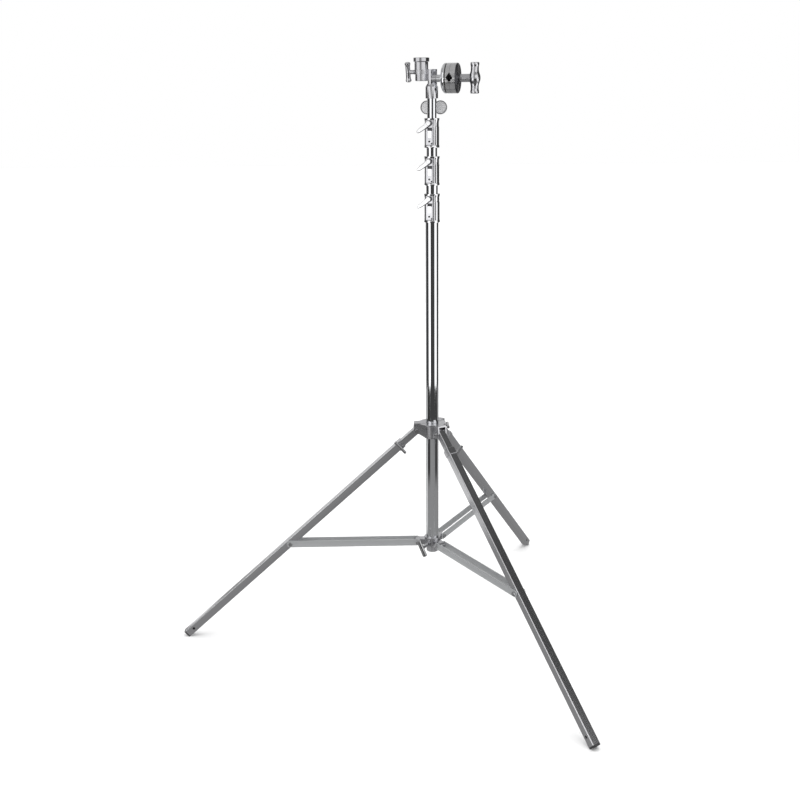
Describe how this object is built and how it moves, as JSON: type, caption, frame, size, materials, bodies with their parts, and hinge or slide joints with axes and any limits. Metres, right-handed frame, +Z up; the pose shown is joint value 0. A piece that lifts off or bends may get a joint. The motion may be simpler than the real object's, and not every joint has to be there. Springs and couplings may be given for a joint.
{
  "type": "overhead grip stand",
  "caption": "Folding overhead stand: spreading braced legs, telescoping column with clamp levers, swivel head with pin receiver and grip head.",
  "frame": {"origin": "centre of the footprint's bounding box, on the floor; the column stands at x 0.124, y -0.139, on the centre of the circle of the feet", "axes": "+Z up the column; +X the way the grip head and its T-handle point; -Y towards the collar levers' side, +Y towards the wing screw's side"},
  "size_m": [1.7626, 1.7478, 2.309],
  "materials": {
    "chrome_tube": "polished chrome plate",
    "leg_steel": "satin plated steel",
    "bar_steel": "satin plated flat bar",
    "satin_casting": "satin cast alloy",
    "bright_casting": "bright polished casting",
    "plated_screws": "plated screws and bolts",
    "dark_jaw": "dark turned face",
    "fibre_washer": "dark friction washer",
    "black_rubber": "black rubber",
    "grey_plastic": "dark grey moulded plastic"
  },
  "bodies": {
    "base": {"base_tube": "chrome_tube", "base_end_plug": "grey_plastic", "base_collar": "satin_casting", "base_pad": "black_rubber", "lower_collar": "satin_casting", "lower_pivot_bolt_a": "plated_screws", "lower_pivot_bolt_b": "plated_screws", "lower_pivot_bolt_c": "plated_screws"},
    "base_lever": {"base_lever": "bright_casting"},
    "lower_collar_bolt": {"lower_collar_bolt": "plated_screws"},
    "riser_1": {"riser_1_tube": "chrome_tube", "riser_1_guide": "grey_plastic", "riser_1_collar": "satin_casting", "riser_1_pad": "black_rubber"},
    "riser_1_lever": {"riser_1_lever": "bright_casting"},
    "riser_2": {"riser_2_tube": "chrome_tube", "riser_2_guide": "grey_plastic", "riser_2_collar": "satin_casting", "riser_2_pad": "black_rubber"},
    "riser_2_lever": {"riser_2_lever": "bright_casting"},
    "riser_3": {"riser_3_tube": "chrome_tube", "riser_3_guide": "grey_plastic"},
    "top_wing_screw": {"top_wing_screw": "plated_screws"},
    "head": {"head_body": "satin_casting", "receiver_cup": "chrome_tube", "grip_base": "chrome_tube"},
    "receiver_bolt": {"receiver_bolt": "chrome_tube"},
    "grip_inner": {"grip_washer": "fibre_washer", "grip_jaw_inner": "chrome_tube"},
    "grip_outer": {"grip_jaw_outer": "dark_jaw"},
    "grip_handle": {"grip_handle": "chrome_tube"},
    "hub": {"hub": "satin_casting", "hub_pivot_bolt_a": "plated_screws", "hub_pivot_bolt_b": "plated_screws", "hub_pivot_bolt_c": "plated_screws"},
    "hub_lock_bolt": {"hub_lock_bolt": "plated_screws"},
    "leg_a": {"leg_stub_a": "leg_steel"},
    "leg_tube_a": {"leg_tube_a": "leg_steel", "foot_plug_a": "black_rubber"},
    "leg_bolt_a": {"leg_bolt_a": "leg_steel"},
    "brace_a": {"brace_bar_a1": "bar_steel", "brace_bar_a2": "bar_steel", "brace_bolt_a": "plated_screws", "brace_nut_a": "plated_screws"},
    "leg_b": {"leg_stub_b": "leg_steel"},
    "leg_tube_b": {"leg_tube_b": "leg_steel", "foot_plug_b": "black_rubber"},
    "leg_bolt_b": {"leg_bolt_b": "leg_steel"},
    "brace_b": {"brace_bar_b1": "bar_steel", "brace_bar_b2": "bar_steel", "brace_bolt_b": "plated_screws", "brace_nut_b": "plated_screws"},
    "leg_c": {"leg_stub_c": "leg_steel"},
    "leg_tube_c": {"leg_tube_c": "leg_steel", "foot_plug_c": "black_rubber"},
    "leg_bolt_c": {"leg_bolt_c": "leg_steel"},
    "brace_c": {"brace_bar_c1": "bar_steel", "brace_bar_c2": "bar_steel", "brace_bolt_c": "plated_screws", "brace_nut_c": "plated_screws"}
  },
  "joints": [
    {"name": "riser_1_slide", "type": "slide", "parent": "base", "child": "riser_1", "axis": [0, 0, 1], "range_m": [0, 1.2]},
    {"name": "riser_2_slide", "type": "slide", "parent": "riser_1", "child": "riser_2", "axis": [0, 0, 1], "range_m": [0, 1.2]},
    {"name": "riser_3_slide", "type": "slide", "parent": "riser_2", "child": "riser_3", "axis": [0, 0, 1], "range_m": [0, 1.2]},
    {"name": "base_lever_turn", "type": "hinge", "parent": "base", "child": "base_lever", "pos_m": [0.12068, -0.17184, 1.801], "axis": [-0.0872, -0.9962, 0], "range_deg": [0, 120]},
    {"name": "riser_1_lever_turn", "type": "hinge", "parent": "riser_1", "child": "riser_1_lever", "pos_m": [0.12078, -0.1706, 1.939], "axis": [-0.0872, -0.9962, 0], "range_deg": [0, 120]},
    {"name": "riser_2_lever_turn", "type": "hinge", "parent": "riser_2", "child": "riser_2_lever", "pos_m": [0.12085, -0.16985, 2.077], "axis": [-0.0872, -0.9962, 0], "range_deg": [0, 120]},
    {"name": "top_wing_screw_turn", "type": "hinge", "parent": "riser_3", "child": "top_wing_screw", "pos_m": [0.12355, -0.13897, 2.132], "axis": [-0.0523, 0.9986, 0], "range_deg": [0, 360]},
    {"name": "head_swivel", "type": "hinge", "parent": "riser_3", "child": "head", "pos_m": [0.12355, -0.13897, 2.1645], "axis": [0, 0, 1], "continuous": true},
    {"name": "receiver_bolt_turn", "type": "hinge", "parent": "head", "child": "receiver_bolt", "pos_m": [0.08455, -0.13897, 2.2585], "axis": [-1, 0, 0], "range_deg": [0, 360]},
    {"name": "grip_turn", "type": "hinge", "parent": "head", "child": "grip_inner", "pos_m": [0.18015, -0.13897, 2.2354], "axis": [1, 0, 0], "continuous": true},
    {"name": "grip_jaw_slide", "type": "slide", "parent": "grip_inner", "child": "grip_outer", "axis": [1, 0, 0], "range_m": [0, 0.006]},
    {"name": "grip_handle_turn", "type": "hinge", "parent": "grip_outer", "child": "grip_handle", "pos_m": [0.22855, -0.13897, 2.2354], "axis": [1, 0, 0], "range_deg": [0, 1080]},
    {"name": "hub_slide", "type": "slide", "parent": "base", "child": "hub", "axis": [0, 0, 1], "range_m": [0, 0.749]},
    {"name": "hub_lock_bolt_turn", "type": "hinge", "parent": "hub", "child": "hub_lock_bolt", "pos_m": [0.12355, -0.13897, 0.90405], "axis": [0.9617, 0.274, 0], "range_deg": [0, 360]},
    {"name": "lower_collar_bolt_turn", "type": "hinge", "parent": "base", "child": "lower_collar_bolt", "pos_m": [0.12355, -0.13897, 0.40757], "axis": [-0.2436, -0.9699, 0], "range_deg": [0, 360]},
    {"name": "leg_a_fold", "type": "hinge", "parent": "hub", "child": "leg_a", "pos_m": [0.06239, -0.15639, 0.88545], "axis": [0.274, -0.9617, 0], "range_deg": [0, 45.8]},
    {"name": "leg_a_level", "type": "slide", "parent": "leg_a", "child": "leg_tube_a", "axis": [-0.7125, -0.203, -0.6717], "range_m": [0, 0.25]},
    {"name": "leg_bolt_a_turn", "type": "hinge", "parent": "leg_tube_a", "child": "leg_bolt_a", "pos_m": [-0.00103, -0.17445, 0.82566], "axis": [0.274, -0.9617, 0], "range_deg": [0, 360]},
    {"name": "brace_a_fold", "type": "hinge", "parent": "base", "child": "brace_a", "pos_m": [0.06392, -0.15595, 0.40857], "axis": [-0.274, 0.9617, 0], "range_deg": [0, 87.33]},
    {"name": "leg_b_fold", "type": "hinge", "parent": "hub", "child": "leg_b", "pos_m": [0.16922, -0.18323, 0.88545], "axis": [0.6959, 0.7181, 0], "range_deg": [0, 45.8]},
    {"name": "leg_b_level", "type": "slide", "parent": "leg_b", "child": "leg_tube_b", "axis": [0.532, -0.5155, -0.6717], "range_m": [0, 0.25]},
    {"name": "leg_bolt_b_turn", "type": "hinge", "parent": "leg_tube_b", "child": "leg_bolt_b", "pos_m": [0.21657, -0.22911, 0.82566], "axis": [0.6959, 0.7181, 0], "range_deg": [0, 360]},
    {"name": "brace_b_fold", "type": "hinge", "parent": "base", "child": "brace_b", "pos_m": [0.16808, -0.18211, 0.40857], "axis": [-0.6959, -0.7181, 0], "range_deg": [0, 87.33]},
    {"name": "leg_c_fold", "type": "hinge", "parent": "hub", "child": "leg_c", "pos_m": [0.13905, -0.07729, 0.88545], "axis": [-0.9699, 0.2436, 0], "range_deg": [0, 45.8]},
    {"name": "leg_c_level", "type": "slide", "parent": "leg_c", "child": "leg_tube_c", "axis": [0.1805, 0.7185, -0.6717], "range_m": [0, 0.25]},
    {"name": "leg_bolt_c_turn", "type": "hinge", "parent": "leg_tube_c", "child": "leg_bolt_c", "pos_m": [0.15511, -0.01334, 0.82566], "axis": [-0.9699, 0.2436, 0], "range_deg": [0, 360]},
    {"name": "brace_c_fold", "type": "hinge", "parent": "base", "child": "brace_c", "pos_m": [0.13866, -0.07884, 0.40857], "axis": [0.9699, -0.2436, 0], "range_deg": [0, 87.33]}
  ],
  "couplings": [
    {"joint": "grip_jaw_slide", "follows": "grip_handle_turn", "m_per_rad": 0.000318},
    {"joint": "leg_a_fold", "follows": "hub_slide", "rad_per_m": 1.0672},
    {"joint": "brace_a_fold", "follows": "hub_slide", "rad_per_m": 2.035},
    {"joint": "leg_b_fold", "follows": "hub_slide", "rad_per_m": 1.0672},
    {"joint": "brace_b_fold", "follows": "hub_slide", "rad_per_m": 2.035},
    {"joint": "leg_c_fold", "follows": "hub_slide", "rad_per_m": 1.0672},
    {"joint": "brace_c_fold", "follows": "hub_slide", "rad_per_m": 2.035}
  ]
}
